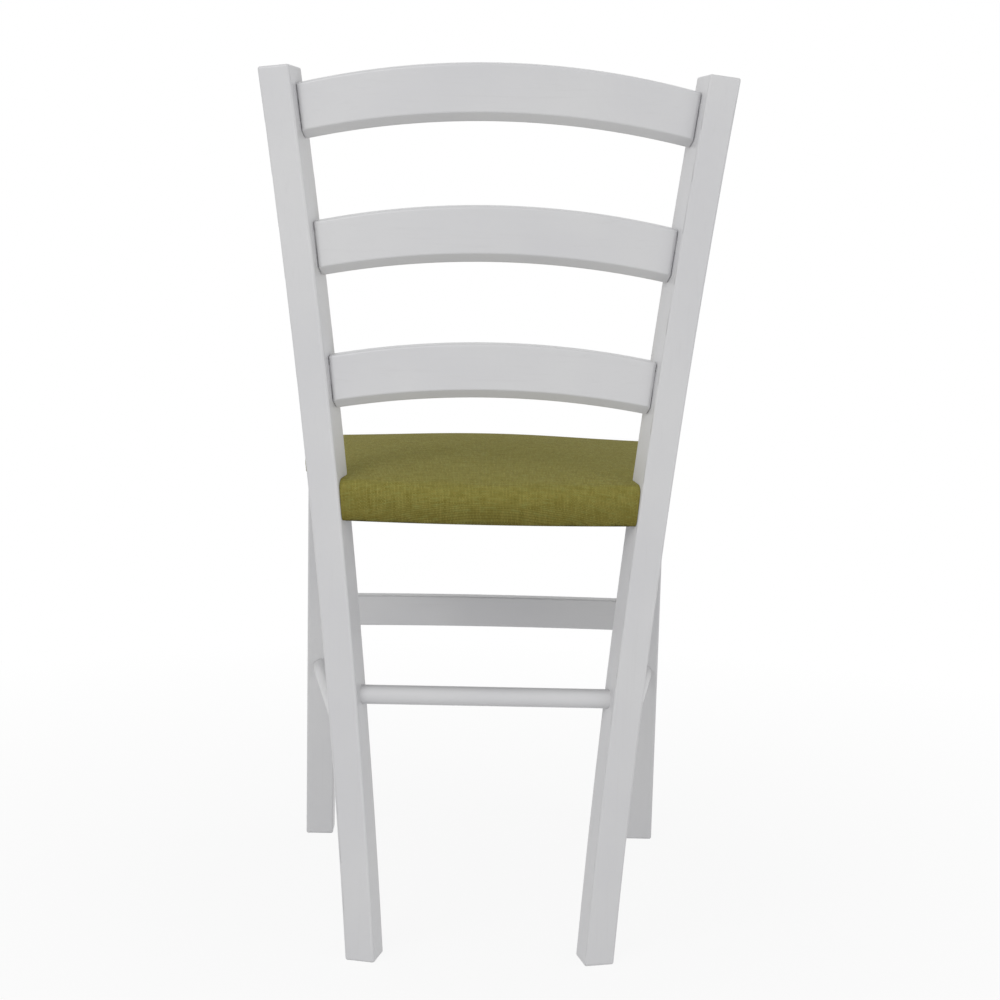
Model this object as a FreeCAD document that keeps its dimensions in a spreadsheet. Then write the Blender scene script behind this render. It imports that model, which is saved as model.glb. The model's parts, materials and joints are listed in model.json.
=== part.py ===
import FreeCAD, Part
import math
import os
import Sketcher

# Ladderback side chair: two splayed rear posts that bow backwards, three arched slats, two square
# front legs, low stretchers, and a stuffed seat whose frame is tenoned into posts and legs.
# +X is the sitter's left, -Y the front, +Z up. The floor is at Z = 0.

V = FreeCAD.Vector

# Driving sizes, in millimetres and degrees
SIZES = {
    # Rear posts
    "post_height": 840,
    "post_width": 29.5,
    "post_top_depth": 36,
    "post_foot_depth": 31,
    "post_turn": 13.5,
    "post_splay": 5.1,
    "post_bow_radius": 3400,
    "post_set_back": 52,
    "rear_foot_spacing": 224,
    # Front legs
    "leg_top_width": 34,
    "leg_foot_width": 31,
    "front_leg_spacing": 374.6,
    "wheelbase": 395,
    # Slats
    "slat_height": 51,
    "slat_thickness": 15,
    "slat_bow_radius": 850,
    "slat_arch_radius": 725,
    "slat_bevel": 9,
    "slat_shoulder_round": 4.5,
    "slat_set_back": 13,
    "top_slat_level": 848,
    "slat_pitch": 125,
    "slat_tenon_height": 34,
    # Low stretchers
    "rod_diameter": 18.5,
    "rod_seat_depth": 15,
    "rear_stretcher_level": 257.5,
    "side_stretcher_level": 200,
    "front_rail_height": 35,
    "front_rail_thickness": 18,
    "front_rail_level": 265.5,
    "front_rail_bow_radius": 1850,
    "front_rail_tenon_height": 24,
    # Seat frame
    "seat_rail_underside": 428.5,
    "seat_rail_height": 30,
    "seat_rail_thickness": 20,
    "seat_rail_tenon_height": 22,
    "back_rail_bow_radius": 850,
    "corner_block_reach": 78,
    "corner_block_height": 22,
    "seat_board_thickness": 5,
    "seat_board_inset": 4,
    "vent_hole_diameter": 30,
    "vent_hole_spacing": 120,
    # Upholstery
    "seat_edge_level": 471,
    "seat_crown": 18,
    "seat_edge_round": 12,
    "seat_corner_radius": 22,
    "cover_thickness": 3,
    "cover_turn_under": 14,
    "cover_hem_thickness": 1,
    "dust_cloth_thickness": 0.8,
    "dust_cloth_inset": 7,
    # Joints and fasteners
    "tenon_thickness": 9,
    "tenon_length": 16,
    "glue_gap": 0.1,
    "mortise_end_gap": 1,
    "cloth_gap": 0.3,
    "screw_diameter": 4,
    "screw_head_diameter": 8,
    "screw_head_height": 2.4,
    "block_screw_length": 34,
    "board_screw_length": 20,
    "screw_gap": 0.05,
    # Edges
    "edge_round": 2.5,
    "slat_edge_round": 2,
    "foot_round": 2.2,
}

doc = FreeCAD.newDocument("LadderbackChair")
sheet = doc.addObject("Spreadsheet::Sheet", "Sizes")
for row, (name, value) in enumerate(SIZES.items(), start=1):
    sheet.set(f"A{row}", name)
    sheet.set(f"B{row}", str(value))
    sheet.setAlias(f"B{row}", name)
doc.recompute()


def size(name):
    return float(sheet.get(name))


def number(expression):
    """The value of a sheet expression such as 'post_width / 2', or a plain number."""
    if isinstance(expression, (int, float)):
        return float(expression)
    result = sheet.evalExpression(expression)
    return float(getattr(result, "Value", result))


def bind(target, path, expression):
    """Ties a property or constraint to the sheet, where the expression names sheet cells."""
    if isinstance(expression, (int, float)):
        return
    names = sorted((name for name in SIZES if name in expression), key=len, reverse=True)
    for index, name in enumerate(names):
        expression = expression.replace(name, f"@{index}@")
    for index, name in enumerate(names):
        expression = expression.replace(f"@{index}@", f"Sizes.{name}")
    target.setExpression(path, expression)


# Sketches and bodies


def body_plane(body, role):
    return next(item for item in body.Origin.OriginFeatures if item.Role == role)


def new_body(name):
    return doc.addObject("PartDesign::Body", name)


def new_sketch(body, name, role, level=0):
    sketch = body.newObject("Sketcher::SketchObject", name)
    sketch.AttachmentSupport = [(body_plane(body, role), "")]
    sketch.MapMode = "FlatFace"
    sketch.AttachmentOffset = FreeCAD.Placement(V(0, 0, number(level)), FreeCAD.Rotation())
    bind(sketch, "AttachmentOffset.Base.z", level)
    return sketch


def outline_sketch(body, name, role, corners, arcs=None, level=0):
    """A closed outline. corners are (x, y) expressions, and arcs gives a radius to the edge that
    leaves a corner: positive where the edge bulges to its right, negative to its left."""
    sketch = new_sketch(body, name, role, level)
    arcs = arcs or {}
    points = [V(number(x), number(y), 0) for x, y in corners]
    count = len(points)
    ends = []
    for index, start in enumerate(points):
        end = points[(index + 1) % count]
        if index not in arcs:
            sketch.addGeometry(Part.LineSegment(start, end), False)
            ends.append((1, 2))
            continue
        radius = abs(number(arcs[index]))
        chord = end - start
        left = V(-chord.y, chord.x, 0).normalize()
        turn = 1 if number(arcs[index]) > 0 else -1
        rise = math.sqrt(radius ** 2 - (chord.Length / 2) ** 2)
        centre = (start + end) / 2 + left * (rise * turn)
        first, last = (start, end) if turn > 0 else (end, start)
        angles = [math.atan2(point.y - centre.y, point.x - centre.x) for point in (first, last)]
        circle = Part.Circle(centre, V(0, 0, 1), radius)
        sketch.addGeometry(Part.ArcOfCircle(circle, angles[0], angles[1]), False)
        ends.append((1, 2) if turn > 0 else (2, 1))
    for index in range(count):
        following = (index + 1) % count
        sketch.addConstraint(
            Sketcher.Constraint("Coincident", index, ends[index][1], following, ends[following][0])
        )
    for index, (x, y) in enumerate(corners):
        for kind, value in (("DistanceX", x), ("DistanceY", y)):
            constraint = Sketcher.Constraint(kind, -1, 1, index, ends[index][0], number(value))
            bind(sketch, f"Constraints[{sketch.addConstraint(constraint)}]", value)
    for index, radius in arcs.items():
        constraint = Sketcher.Constraint("Radius", index, abs(number(radius)))
        bound = radius.lstrip("-") if isinstance(radius, str) else radius
        bind(sketch, f"Constraints[{sketch.addConstraint(constraint)}]", bound)
    return sketch


def circle_sketch(body, name, role, diameter, level=0, centre=(0, 0)):
    sketch = new_sketch(body, name, role, level)
    middle = V(number(centre[0]), number(centre[1]), 0)
    sketch.addGeometry(Part.Circle(middle, V(0, 0, 1), number(diameter) / 2), False)
    index = sketch.addConstraint(Sketcher.Constraint("Diameter", 0, number(diameter)))
    bind(sketch, f"Constraints[{index}]", diameter)
    for kind, value in (("DistanceX", centre[0]), ("DistanceY", centre[1])):
        index = sketch.addConstraint(Sketcher.Constraint(kind, -1, 1, 0, 3, number(value)))
        bind(sketch, f"Constraints[{index}]", value)
    return sketch


def pad(body, name, sketch, length, symmetric=False, reverse=False):
    feature = body.newObject("PartDesign::Pad", name)
    feature.Profile = sketch
    feature.Length = number(length)
    bind(feature, "Length", length)
    if symmetric:
        feature.SideType = "Symmetric"
    feature.Reversed = reverse
    sketch.Visibility = False
    return feature


def pocket_through(body, name, sketch):
    feature = body.newObject("PartDesign::Pocket", name)
    feature.Profile = sketch
    feature.Type = "ThroughAll"
    feature.SideType = "Symmetric"
    sketch.Visibility = False
    return feature


def edges_of(shape, wanted):
    return [f"Edge{index}" for index, edge in enumerate(shape.Edges, start=1) if wanted(edge)]


def round_edges(body, name, radius, wanted):
    """Rounds the edges of the body's last feature that wanted() picks."""
    doc.recompute()
    base = body.Tip
    feature = body.newObject("PartDesign::Fillet", name)
    feature.Base = (base, edges_of(base.Shape, wanted))
    feature.Radius = number(radius)
    bind(feature, "Radius", radius)
    doc.recompute()
    return feature


def dress_edges(kind, name, base, radius, wanted):
    """Part::Fillet or Part::Chamfer on the picked edges of any document object."""
    doc.recompute()
    feature = doc.addObject(kind, name)
    feature.Base = base
    amount = number(radius)
    picked = [index for index, edge in enumerate(base.Shape.Edges, start=1) if wanted(edge)]
    feature.Edges = [(index, amount, amount) for index in picked]
    doc.recompute()
    return feature


# Booleans and primitives


def box(name, length, width, height, placement):
    feature = doc.addObject("Part::Box", name)
    for path, value in (("Length", length), ("Width", width), ("Height", height)):
        setattr(feature, path, number(value))
        bind(feature, path, value)
    feature.Placement = placement
    return feature


def fuse(name, shapes):
    if len(shapes) == 1:
        return shapes[0]
    feature = doc.addObject("Part::MultiFuse", name)
    feature.Shapes = shapes
    feature.Refine = True
    return feature


def cut(name, base, tools):
    feature = doc.addObject("Part::Cut", name)
    feature.Base = base
    feature.Tool = fuse(f"{name}_tools", tools)
    feature.Refine = True
    return feature


def common(name, first, second):
    feature = doc.addObject("Part::Common", name)
    feature.Base = first
    feature.Tool = second
    return feature


def mirror(name, source):
    feature = doc.addObject("Part::Mirroring", name)
    feature.Source = source
    feature.Normal = V(1, 0, 0)
    return feature


def turned(axis, degrees):
    return FreeCAD.Placement(V(), FreeCAD.Rotation(axis, degrees))


def moved(x=0, y=0, z=0):
    return FreeCAD.Placement(V(x, y, z), FreeCAD.Rotation())


X_AXIS = V(1, 0, 0)
Y_AXIS = V(0, 1, 0)
Z_AXIS = V(0, 0, 1)

GLUE = size("glue_gap")
TENON_LENGTH = size("tenon_length")
TENON_THICKNESS = size("tenon_thickness")
# A tenon or screw solid starts this far inside the piece that carries it
ROOT = 4.0


def joint(name, placement, height):
    """A tenon and its mortise. The placement's X runs out of the shoulder, Y is the thickness."""
    start = placement * moved(-ROOT, -TENON_THICKNESS / 2, -number(height) / 2)
    tenon = box(f"{name}_tenon", f"tenon_length + {ROOT}", "tenon_thickness", height, start)
    mortise = box(
        f"{name}_mortise",
        f"tenon_length + {ROOT} + mortise_end_gap",
        "tenon_thickness + 2 * glue_gap",
        f"{height} + 2 * glue_gap",
        start * moved(0, -GLUE, -GLUE),
    )
    return tenon, mortise


# Rear posts. A post's own frame has its origin at the foot's centre, Z up the splayed post, Y
# backwards across its depth and X outwards across its width.

POST_FRAME = (
    moved(x=size("rear_foot_spacing") / 2)
    * turned(Z_AXIS, -size("post_turn"))
    * turned(Y_AXIS, size("post_splay"))
)
POST_LENGTH = "post_height / cos(post_splay * 1deg)"
POST_BACK_RADIUS = "-(post_bow_radius)"
# The post's blank starts this far under its foot's centre, and is then cut level
FOOT_WASTE = "post_width * tan(post_splay * 1deg)"


def post_face(side, length):
    """Where the front face (side -1) or back face (side 1) lies at this length up the post, and its
    slope there. Each face is an arc from the blank's foot to its top."""
    foot = V(0, side * size("post_foot_depth") / 2, -number(FOOT_WASTE))
    top = V(0, size("post_set_back") + side * size("post_top_depth") / 2, number(POST_LENGTH))
    chord = top - foot
    radius = size("post_bow_radius")
    rise = math.sqrt(radius ** 2 - (chord.Length / 2) ** 2)
    centre = (foot + top) / 2 + V(0, chord.z, -chord.y).normalize() * rise
    run = length - centre.z
    reach_forward = math.sqrt(radius ** 2 - run ** 2)
    return centre.y - reach_forward, run / reach_forward


def post_offset(length):
    """How far back the post's centre line lies at this length up it."""
    return (post_face(-1, length)[0] + post_face(1, length)[0]) / 2


def post_centre(level):
    """The left post's centre at this height above the floor."""
    length = level / math.cos(math.radians(size("post_splay")))
    return POST_FRAME.multVec(V(0, post_offset(length), length))


def post_lean(level):
    """The post's backward lean at this height, in degrees, seen from the side."""
    step = 1.0
    rise = post_centre(level + step) - post_centre(level - step)
    return math.degrees(math.atan2(rise.y, rise.z))


def post_blank(name, gap):
    """The bowed board of a post, larger all round by gap where it serves to clear a notch."""
    body = new_body(name)
    half_foot = f"post_foot_depth / 2 + {gap}"
    half_top = f"post_top_depth / 2 + {gap}"
    corners = [
        (f"-({half_foot})", f"-({FOOT_WASTE})"),
        (half_foot, f"-({FOOT_WASTE})"),
        (f"post_set_back + {half_top}", POST_LENGTH),
        (f"post_set_back - ({half_top})", POST_LENGTH),
    ]
    arcs = {1: POST_BACK_RADIUS, 3: "post_bow_radius"}
    side = outline_sketch(body, f"{name}_side", "YZ_Plane", corners, arcs)
    pad(body, f"{name}_board", side, f"post_width + 2 * ({gap})", symmetric=True)
    foot = [
        ("-post_width", f"-({FOOT_WASTE})"),
        ("-post_width", "-2 * post_width"),
        ("post_width", "-2 * post_width"),
        ("post_width", FOOT_WASTE),
    ]
    pocket_through(body, f"{name}_level_cut", outline_sketch(body, f"{name}_foot", "XZ_Plane", foot))
    return body


def is_long(edge):
    return edge.Length > size("post_height") / 2


post_body = post_blank("post_left_board", 0)
doc.recompute()
round_edges(post_body, "post_edge_round", "edge_round", is_long)
round_edges(
    post_body, "post_foot_round", "foot_round", lambda edge: edge.BoundBox.ZMax < size("post_width") / 6
)
round_edges(
    post_body,
    "post_top_round",
    "edge_round * 0.8",
    lambda edge: edge.BoundBox.ZMin > number(POST_LENGTH) - 0.01,
)
post_body.Placement = POST_FRAME
post_clearance = post_blank("post_clearance", "cloth_gap")
post_clearance.Placement = POST_FRAME
post_clearance_right = mirror("post_clearance_right", post_clearance)
# Everything on the outer side of a post's inner face, which cuts the shoulders of slats and back rail
beyond_post = box(
    "beyond_post",
    "3 * post_width",
    "8 * post_top_depth",
    POST_LENGTH,
    POST_FRAME * moved(-size("post_width") / 2, -3 * size("post_top_depth")),
)
beyond_posts = [beyond_post, mirror("beyond_post_right", beyond_post)]
doc.recompute()
# What is cut out of the left post and the left front leg; the right ones are their mirror images
post_cuts = []
leg_cuts = []


def reach(placement, start, direction, axis, value):
    """The distance along direction at which a line meets a plane of the placement's own frame."""
    inverse = placement.inverse()
    origin = inverse.multVec(start)
    along = inverse.Rotation.multVec(direction)
    return (value - origin[axis]) / along[axis]


def between_posts(level, set_back):
    """Half the clear width between the posts' inner faces, a given way behind their centre line."""
    start = V(0, post_centre(level).y + set_back, level)
    return reach(POST_FRAME, start, X_AXIS, 0, -size("post_width") / 2)


def bowed_board(name, half_width, bow_radius, thickness, height):
    """A board bowed backwards in plan. Its back face passes half_width at y = 0, its foot is z = 0."""
    body = new_body(name)
    half_length = half_width + 0.7 * TENON_LENGTH
    middle = f"sqrt({bow_radius}^2 - {half_width}^2)"
    back = f"sqrt({bow_radius}^2 - {half_length}^2) - {middle}"
    front = f"sqrt(({bow_radius} - {thickness})^2 - {half_length}^2) - {middle}"
    corners = [(-half_length, front), (half_length, front), (half_length, back), (-half_length, back)]
    arcs = {0: f"-({bow_radius} - {thickness})", 2: bow_radius}
    pad(body, f"{name}_board", outline_sketch(body, f"{name}_plan", "XY_Plane", corners, arcs), height)
    return body


def end_joints(name, frame, half_width, bow_radius, thickness, level, height):
    """The tenons at both ends of a bowed board, and the mortise of the left end. The frame's origin
    is where the board's back face crosses the line between its ends."""
    angle = math.degrees(math.asin(half_width / number(bow_radius)))
    end = frame * moved(half_width, -number(thickness) / 2, level) * turned(Z_AXIS, -angle)
    tenon, mortise = joint(name, end, height)
    return [tenon, mirror(f"{name}_tenon_right", tenon)], mortise


# Slats: a bowed board, arched in front view, bevelled under its back face, that leans with the posts


def make_slat(name, top_level):
    arch = size("slat_arch_radius")
    middle_level = top_level - size("slat_height") / 2
    half_width = between_posts(middle_level, size("slat_set_back"))
    half_length = half_width + TENON_LENGTH
    blank_height = size("slat_height") + 2 * (arch - math.sqrt(arch ** 2 - half_length ** 2))
    blank = bowed_board(f"{name}_bow", half_width, "slat_bow_radius", "slat_thickness", blank_height)
    blank.Placement = moved(z=-blank_height)
    body = new_body(f"{name}_arch")
    low = f"sqrt(slat_arch_radius^2 - {half_length}^2) - slat_arch_radius"
    corners = [
        (-half_length, f"{low} - slat_height"),
        (half_length, f"{low} - slat_height"),
        (half_length, low),
        (-half_length, low),
    ]
    arcs = {0: "-slat_arch_radius", 2: "slat_arch_radius"}
    outline = outline_sketch(body, f"{name}_front", "XZ_Plane", corners, arcs)
    pad(body, f"{name}_outline", outline, "4 * post_top_depth", symmetric=True)
    board = common(f"{name}_blank", blank, body)
    frame = moved(y=post_centre(middle_level).y + size("slat_set_back"), z=top_level)
    frame = frame * turned(X_AXIS, -post_lean(middle_level))
    board.Placement = frame
    back = frame.inverse()
    bow = number("slat_bow_radius") - math.sqrt(number("slat_bow_radius") ** 2 - half_width ** 2)

    def middle(edge):
        return back.multVec(edge.valueAt((edge.FirstParameter + edge.LastParameter) / 2))

    def runs_along(edge):
        return edge.Length > half_width

    def is_low_back(edge):
        point = middle(edge)
        return runs_along(edge) and point.z < -size("slat_height") / 2 and point.y > bow - 1

    bevelled = dress_edges("Part::Chamfer", f"{name}_bevel", board, "slat_bevel", is_low_back)
    seated = cut(f"{name}_shoulders", bevelled, beyond_posts)
    doc.recompute()
    shoulder = reach(POST_FRAME, frame.Base, X_AXIS, 0, 0)

    def is_shoulder(edge):
        point = middle(edge)
        return (
            size("slat_height") * 0.6 < edge.Length < 2 * size("slat_height")
            and abs(point.x) > shoulder * 0.8
        )

    rolled = dress_edges("Part::Fillet", f"{name}_rolled", seated, "slat_shoulder_round", is_shoulder)
    eased = dress_edges(
        "Part::Fillet", f"{name}_eased", rolled, "slat_edge_round", lambda edge: runs_along(edge)
    )
    drop = arch - math.sqrt(arch ** 2 - half_width ** 2) + size("slat_height") / 2
    tenons, mortise = end_joints(
        name, frame, half_width, "slat_bow_radius", "slat_thickness", -drop, "slat_tenon_height"
    )
    post_cuts.append(mortise)
    doc.recompute()
    return fuse(f"{name}_board_and_tenons", [eased] + tenons)


pieces = {}
for place, slat_name in enumerate(("slat_top", "slat_middle", "slat_bottom")):
    pieces[slat_name] = make_slat(slat_name, size("top_slat_level") - place * size("slat_pitch"))
doc.recompute()


# Front legs: square, tapered to the foot, rounded off with the seat's corner at the top

LEG_X = size("front_leg_spacing") / 2
LEG_Y = -size("wheelbase")
LEG_TOP = "seat_rail_underside + seat_rail_height"
LEG_FRAME = moved(LEG_X, LEG_Y)


def square(half, centre_x=0):
    return [
        (f"{centre_x} - ({half})", f"-({half})"),
        (f"{centre_x} + ({half})", f"-({half})"),
        (f"{centre_x} + ({half})", half),
        (f"{centre_x} - ({half})", half),
    ]


def leg_half(level):
    share = level / number(LEG_TOP)
    return (size("leg_foot_width") * (1 - share) + size("leg_top_width") * share) / 2


leg_body = new_body("leg_blank")
leg_foot = outline_sketch(leg_body, "leg_foot_square", "XY_Plane", square("leg_foot_width / 2"))
leg_board = pad(leg_body, "leg_taper", leg_foot, LEG_TOP)
leg_taper = f"atan((leg_top_width - leg_foot_width) / 2 / ({LEG_TOP})) / 1deg"
leg_board.TaperAngle = number(leg_taper)
bind(leg_board, "TaperAngle", leg_taper)
round_edges(
    leg_body, "leg_edge_round", "edge_round", lambda edge: edge.Length > size("seat_rail_underside") / 2
)
round_edges(
    leg_body, "leg_foot_round", "foot_round", lambda edge: edge.BoundBox.ZMax < size("leg_foot_width") / 6
)
leg_body.Placement = LEG_FRAME
doc.recompute()


# Low stretchers: two round side rods, a round rear rod and a flat, bowed front rail


def rod(name, start, end):
    """A round rod between two points, and the hole that takes it."""
    along = end - start
    body = new_body(f"{name}_rod")
    pad(body, f"{name}_length", circle_sketch(body, f"{name}_round", "XY_Plane", "rod_diameter"), along.Length)
    round_edges(body, f"{name}_end_round", "edge_round * 0.4", lambda edge: edge.Length < 100)
    turn = FreeCAD.Placement(start, FreeCAD.Rotation(Z_AXIS, along))
    body.Placement = turn
    hole = doc.addObject("Part::Cylinder", f"{name}_hole")
    hole.Radius = number("rod_diameter / 2 + glue_gap")
    bind(hole, "Radius", "rod_diameter / 2 + glue_gap")
    hole.Height = along.Length + 2 * size("mortise_end_gap")
    hole.Placement = turn * moved(z=-size("mortise_end_gap"))
    return body, hole


rear_level = size("rear_stretcher_level")
rear_centre = post_centre(rear_level)
rear_half = between_posts(rear_level, 0) + size("rod_seat_depth")
rear_ends = [V(side * rear_half, rear_centre.y, rear_level) for side in (-1, 1)]
pieces["rear_stretcher"], rear_hole = rod("rear_stretcher", *rear_ends)
post_cuts.append(rear_hole)

side_level = size("side_stretcher_level")
side_centre = post_centre(side_level)
side_start = V(LEG_X, LEG_Y + leg_half(side_level), side_level)
side_line = (side_centre - side_start).normalize()
side_length = side_level / math.cos(math.radians(size("post_splay")))
side_front_face = post_face(-1, side_length)[0]
side_run = reach(POST_FRAME, side_start, side_line, 1, side_front_face)
side_stretcher, side_hole = rod(
    "side_stretcher_left",
    side_start - side_line * size("rod_seat_depth"),
    side_start + side_line * (side_run + size("rod_seat_depth")),
)
pieces["side_stretcher_left"] = side_stretcher
pieces["side_stretcher_right"] = mirror("side_stretcher_right_rod", side_stretcher)
post_cuts.append(side_hole)
leg_cuts.append(side_hole)


def bowed_rail(name, frame, half_width, radius, thickness, height, tenon_height, ends):
    """A flat rail on edge, bowed towards the frame's +Y, cut to its shoulders by the end pieces."""
    board = bowed_board(f"{name}_bow", half_width, radius, thickness, height)
    board.Placement = frame
    shoulders = cut(f"{name}_shoulders", board, ends)
    middle = number(height) / 2
    tenons, mortise = end_joints(name, frame, half_width, radius, thickness, middle, tenon_height)
    return shoulders, tenons, mortise


leg_body_right = mirror("leg_blank_right", leg_body)
FACING_FRONT = turned(Z_AXIS, 180)
low_rail_foot = size("front_rail_level") - size("front_rail_height") / 2
low_rail_frame = moved(y=LEG_Y - size("front_rail_thickness") / 2, z=low_rail_foot) * FACING_FRONT
low_rail_half = LEG_X - leg_half(size("front_rail_level"))
low_rail, low_tenons, low_mortise = bowed_rail(
    "front_rail",
    low_rail_frame,
    low_rail_half,
    "front_rail_bow_radius",
    "front_rail_thickness",
    "front_rail_height",
    "front_rail_tenon_height",
    [leg_body, leg_body_right],
)
doc.recompute()
low_rail = dress_edges(
    "Part::Fillet", "front_rail_eased", low_rail, "slat_edge_round", lambda edge: edge.Length > low_rail_half
)
pieces["front_rail"] = fuse("front_rail_and_tenons", [low_rail] + low_tenons)
# The rail faces the front, so its own left end is the chair's right end
leg_cuts.append(mirror("front_rail_mortise_left", low_mortise))


# Seat frame: four rails tenoned into the legs and the posts, with a screwed block in each corner

SEAT_FOOT = size("seat_rail_underside")
SEAT_MIDDLE = SEAT_FOOT + size("seat_rail_height") / 2
RAIL = size("seat_rail_thickness")
LEG_HEAD_HALF = size("leg_top_width") / 2
FRAME_FRONT = LEG_Y - LEG_HEAD_HALF
seat_post = post_centre(SEAT_MIDDLE)

front_half = LEG_X - leg_half(SEAT_MIDDLE)
front_frame = moved(y=FRAME_FRONT, z=SEAT_FOOT) * FACING_FRONT
front_rail, front_tenons, front_mortise = bowed_rail(
    "seat_rail_front",
    front_frame,
    front_half,
    "front_rail_bow_radius",
    "seat_rail_thickness",
    "seat_rail_height",
    "seat_rail_tenon_height",
    [leg_body, leg_body_right],
)
pieces["seat_rail_front"] = fuse("seat_rail_front_and_tenons", [front_rail] + front_tenons)
leg_cuts.append(mirror("seat_rail_front_mortise_left", front_mortise))

back_half = between_posts(SEAT_MIDDLE, RAIL / 2)
back_frame = moved(y=seat_post.y + RAIL / 2, z=SEAT_FOOT)
back_rail, back_tenons, back_mortise = bowed_rail(
    "seat_rail_back",
    back_frame,
    back_half,
    "back_rail_bow_radius",
    "seat_rail_thickness",
    "seat_rail_height",
    "seat_rail_tenon_height",
    beyond_posts,
)
pieces["seat_rail_back"] = fuse("seat_rail_back_and_tenons", [back_rail] + back_tenons)
post_cuts.append(back_mortise)

# The side rail's centre line runs from the leg's back face to the middle of the post
rail_start = V(LEG_X + LEG_HEAD_HALF - RAIL / 2, LEG_Y + LEG_HEAD_HALF, SEAT_MIDDLE)
rail_line = seat_post - rail_start
rail_turn = math.degrees(math.atan2(rail_line.y, rail_line.x))
rail_frame = FreeCAD.Placement(rail_start, FreeCAD.Rotation(Z_AXIS, rail_turn))
overlap = LEG_HEAD_HALF
side_board = box(
    "seat_rail_left_board",
    rail_line.Length + overlap,
    "seat_rail_thickness",
    "seat_rail_height",
    rail_frame * moved(-overlap, -RAIL / 2, -size("seat_rail_height") / 2),
)
seat_length = SEAT_MIDDLE / math.cos(math.radians(size("post_splay")))
seat_front_face, seat_slope = post_face(-1, seat_length)
face_tilt = math.degrees(math.atan(seat_slope))
# The post's face bulges, so the flat shoulder stands a glue line off it
side_shoulder = box(
    "seat_rail_left_shoulder",
    "4 * post_width",
    "2 * post_top_depth",
    "4 * seat_rail_height",
    POST_FRAME
    * moved(0, seat_front_face - GLUE, seat_length)
    * turned(X_AXIS, -face_tilt)
    * moved(-2 * size("post_width"), 0, -2 * size("seat_rail_height")),
)
side_shoulders = cut("seat_rail_left_shoulders", side_board, [side_shoulder, leg_body])
rail_run = reach(POST_FRAME, rail_start, rail_line, 1, seat_front_face) * rail_line.Length
rear_tenon, rear_mortise = joint(
    "seat_rail_left_rear", rail_frame * moved(x=rail_run), "seat_rail_tenon_height"
)
fore_tenon, fore_mortise = joint(
    "seat_rail_left_fore", rail_frame * turned(Z_AXIS, 180), "seat_rail_tenon_height"
)
# Inside the post the back rail's tenon goes through whole, and the side rail's stops short of it
short_tenon = cut("seat_rail_left_short_tenon", rear_tenon, [back_mortise])
left_rail = fuse("seat_rail_left_and_tenons", [side_shoulders, short_tenon, fore_tenon])
pieces["seat_rail_left"] = left_rail
pieces["seat_rail_right"] = mirror("seat_rail_right_and_tenons", left_rail)
post_cuts.append(rear_mortise)
leg_cuts.append(fore_mortise)
doc.recompute()


# Seat outline in plan, grown beyond the frame's outer faces, with its corners rounded


def seat_slab(name, growth, foot, height):
    """A level slab with the seat's outline."""
    side = rail_frame * moved(y=-(RAIL / 2 + growth))
    along = rail_frame.Rotation.multVec(X_AXIS)
    front = FRAME_FRONT - growth
    back = seat_post.y + RAIL / 2 + growth
    front_x, back_x = (side.Base.x + along.x * (y - side.Base.y) / along.y for y in (front, back))
    corners = [(-front_x, front), (front_x, front), (back_x, back), (-back_x, back)]
    arcs = {0: f"front_rail_bow_radius + {growth}", 2: f"back_rail_bow_radius + {growth}"}
    body = new_body(f"{name}_slab")
    pad(body, f"{name}_height", outline_sketch(body, f"{name}_outline", "XY_Plane", corners, arcs, foot), height)
    doc.recompute()
    radius = f"seat_corner_radius + {growth}"
    round_edges(body, f"{name}_corner_round", radius, lambda edge: edge.BoundBox.ZLength > number(height) / 2)
    return body


def crown(name, drop):
    """A solid under the seat's crown, lofted through arched sections from front to back."""
    body = new_body(name)
    half_width = LEG_X + 2 * LEG_HEAD_HALF
    half_depth = (seat_post.y - FRAME_FRONT) / 2 + RAIL
    centre = (seat_post.y + FRAME_FRONT) / 2
    edge = size("seat_edge_level") - drop
    rise = size("seat_crown")
    steps = 6
    sections = []
    for step in range(steps + 1):
        share = 2 * step / steps - 1
        sweep = math.cos(share * math.pi / 2)
        arch = rise * (0.25 + 0.75 * sweep)
        low = edge - 0.25 * rise
        radius = (half_width ** 2 + arch ** 2) / (2 * arch)
        floor = SEAT_FOOT - size("seat_rail_height")
        corners = [(-half_width, floor), (half_width, floor), (half_width, low), (-half_width, low)]
        level = -(centre + share * (half_depth + RAIL))
        sections.append(
            outline_sketch(body, f"{name}_section_{step}", "XZ_Plane", corners, {2: radius}, level)
        )
    loft = body.newObject("PartDesign::AdditiveLoft", f"{name}_loft")
    loft.Profile = sections[0]
    loft.Sections = sections[1:]
    return body


def seat_form(name, growth, drop, foot):
    """The stuffed seat's outer form: the seat outline under the crown, its top edges rounded."""
    slab = seat_slab(name, growth, foot, "4 * seat_crown + seat_rail_height")
    form = common(f"{name}_crowned", slab, crown(f"{name}_crown", drop))
    low = size("seat_edge_level") - size("seat_crown")
    return dress_edges(
        "Part::Fillet",
        f"{name}_form",
        form,
        f"seat_edge_round - {drop}",
        lambda edge: edge.BoundBox.ZMin > low,
    )


skin = size("cover_thickness")
cloth = size("cloth_gap")
hem_level = SEAT_FOOT - size("cover_hem_thickness")
inner_form = seat_form("stuffing", cloth, skin, SEAT_FOOT)
outer_form = seat_form("cover", cloth + skin, 0, hem_level)


def notched(name, base, more=()):
    """Cuts the rear corners away round both posts."""
    reach_out = 4 * RAIL
    corner = moved(seat_post.x, seat_post.y, SEAT_FOOT - reach_out)
    notch = box(f"{name}_notch", reach_out, reach_out, 2 * reach_out, corner)
    notch_right = mirror(f"{name}_notch_right", notch)
    return cut(name, base, [notch, notch_right, post_clearance, post_clearance_right] + list(more))


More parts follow.
